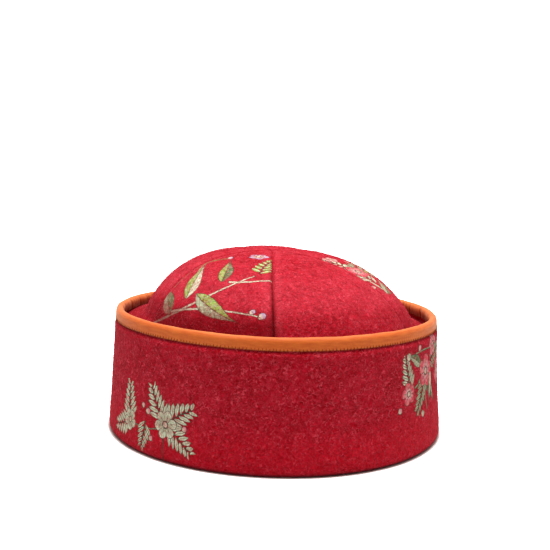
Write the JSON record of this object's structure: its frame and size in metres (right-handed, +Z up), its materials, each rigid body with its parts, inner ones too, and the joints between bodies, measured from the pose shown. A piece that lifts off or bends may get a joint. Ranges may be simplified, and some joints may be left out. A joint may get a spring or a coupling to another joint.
{
  "type": "felt hat with turned-up cuff",
  "caption": "Soft felt hat: a shallow domed crown of sewn panels set inside a tall turned-up cuff with a bound top edge, open below for the head.",
  "frame": {"origin": "middle of the foot, on the surface that the hat rests on", "axes": "+Z up through the crown, -Y to the front where the cuff is highest, +X to the viewer's right"},
  "size_m": [0.1944, 0.204, 0.1031],
  "materials": {
    "felt": "matte mottled boiled wool",
    "binding": "smooth satin"
  },
  "bodies": {
    "root": {"cuff": "felt", "cuff_binding": "binding", "crown_panel_front_left": "felt", "crown_panel_front_right": "felt", "crown_panel_right": "felt", "crown_panel_back": "felt", "crown_panel_left": "felt"}
  },
  "joints": []
}
